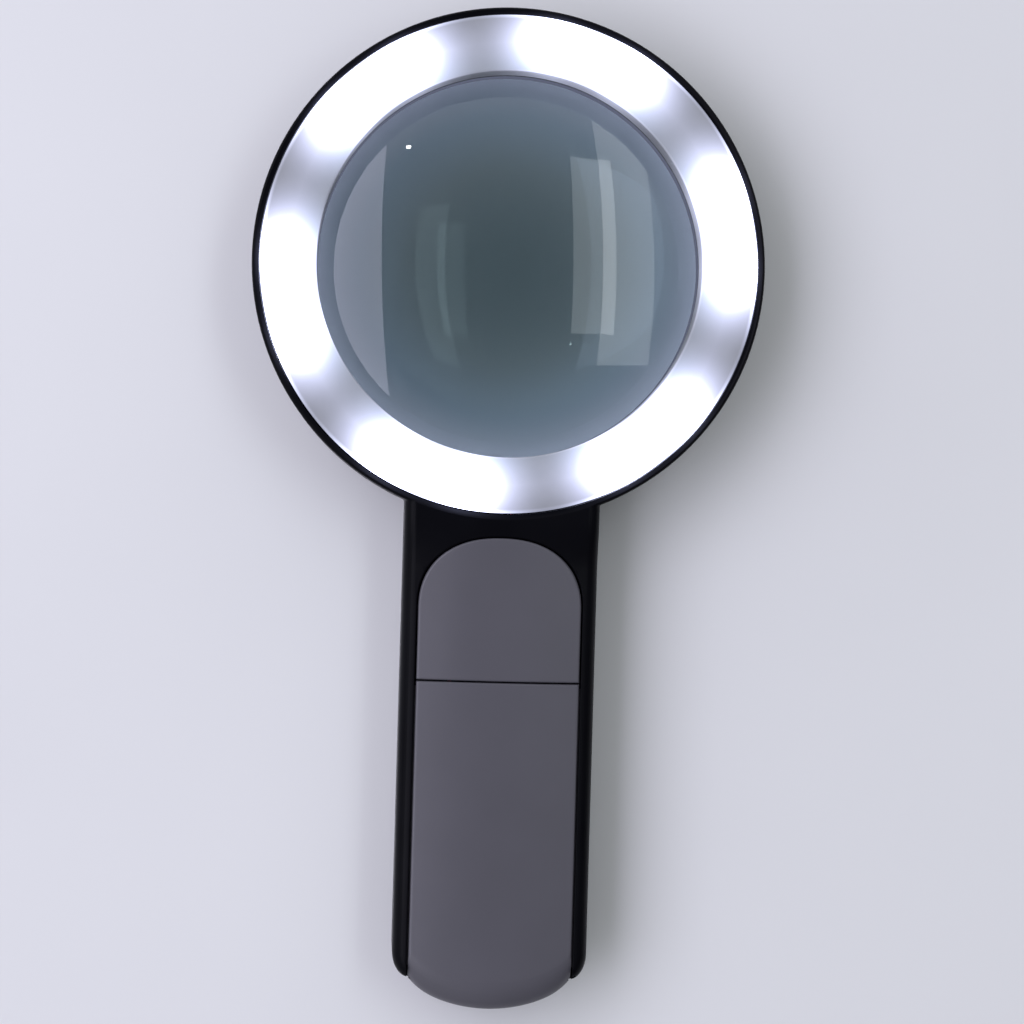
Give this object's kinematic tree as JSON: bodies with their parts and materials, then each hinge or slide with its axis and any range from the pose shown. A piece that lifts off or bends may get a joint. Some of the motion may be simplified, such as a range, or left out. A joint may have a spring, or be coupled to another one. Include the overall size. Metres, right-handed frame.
{
  "type": "low vision magnifier",
  "caption": "Hand-held magnifier with a big round lens in a lit ring and a flat handle that holds batteries under a sliding cover.",
  "frame": {"origin": "centre of the overall box, on the plane that the magnifier lies on", "axes": "+Z along the lens axis, out of the light side; +Y from the handle towards the head; +X to the right when the light side is looked at with the handle down"},
  "size_m": [0.105, 0.205, 0.02],
  "materials": {
    "black_plastic": "moulded black ABS, semi-gloss with a very fine grain",
    "diffuser_plastic": "milky translucent plastic, lit from behind",
    "led_circuit_board": "white solder mask",
    "lens_glass": "polished clear lens",
    "retaining_ring_plastic": "dark grey, satin",
    "grey_plastic": "moulded grey ABS, satin",
    "button_plastic": "dark, satin",
    "switch_plastic": "black, matte",
    "control_circuit_board": "green solder mask",
    "chip_plastic": "black epoxy",
    "tray_plastic": "black, matte",
    "battery_sleeve": "plain printed foil sleeve on a metal can",
    "spring_steel": "nickel plated wire",
    "nickel_plate": "nickel plated sheet",
    "screw_steel": "zinc plated",
    "cool_led": "white package with clear dome",
    "warm_led": "white package with yellow phosphor",
    "red_wire_insulation": "red PVC",
    "black_wire_insulation": "black PVC",
    "white_wire_insulation": "white PVC"
  },
  "bodies": {
    "housing": {"front_shell": "black_plastic", "back_shell": "black_plastic", "diffuser_ring": "diffuser_plastic", "led_board": "led_circuit_board", "lens": "lens_glass", "lens_retaining_ring": "retaining_ring_plastic", "front_panel": "grey_plastic", "back_panel": "grey_plastic", "switch_body": "switch_plastic", "control_board": "control_circuit_board", "driver_chip": "chip_plastic", "resistor_1": "chip_plastic", "resistor_2": "chip_plastic", "battery_tray": "tray_plastic", "battery_1": "battery_sleeve", "battery_2": "battery_sleeve", "battery_3": "battery_sleeve", "battery_spring_1": "spring_steel", "battery_spring_2": "spring_steel", "battery_spring_3": "spring_steel", "positive_terminal_plate": "nickel_plate", "negative_terminal_plate": "nickel_plate", "head_end_bridge_plate": "nickel_plate", "handle_end_bridge_plate": "nickel_plate", "wire_battery_positive": "red_wire_insulation", "wire_battery_negative": "black_wire_insulation", "wire_led_common": "black_wire_insulation", "wire_led_cool": "white_wire_insulation", "wire_led_warm": "red_wire_insulation", "shell_screw_1": "screw_steel", "shell_screw_2": "screw_steel", "shell_screw_3": "screw_steel", "shell_screw_4": "screw_steel", "led_cool_01": "cool_led", "led_cool_02": "cool_led", "led_cool_03": "cool_led", "led_cool_04": "cool_led", "led_cool_05": "cool_led", "led_cool_06": "cool_led", "led_cool_07": "cool_led", "led_cool_08": "cool_led", "led_cool_09": "cool_led", "led_cool_10": "cool_led", "led_cool_11": "cool_led", "led_cool_12": "cool_led", "led_warm_01": "warm_led", "led_warm_02": "warm_led", "led_warm_03": "warm_led", "led_warm_04": "warm_led", "led_warm_05": "warm_led", "led_warm_06": "warm_led"},
    "battery_cover": {"battery_cover": "grey_plastic"},
    "power_button": {"power_button": "button_plastic", "switch_plunger": "button_plastic"}
  },
  "joints": [
    {"name": "battery_cover_slide", "type": "slide", "parent": "housing", "child": "battery_cover", "axis": [0, -1, 0], "range_m": [0, 0.065]},
    {"name": "power_button_press", "type": "slide", "parent": "housing", "child": "power_button", "axis": [0, 0, 1], "range_m": [0, 0.0008], "stiffness_N_per_m": 400}
  ]
}
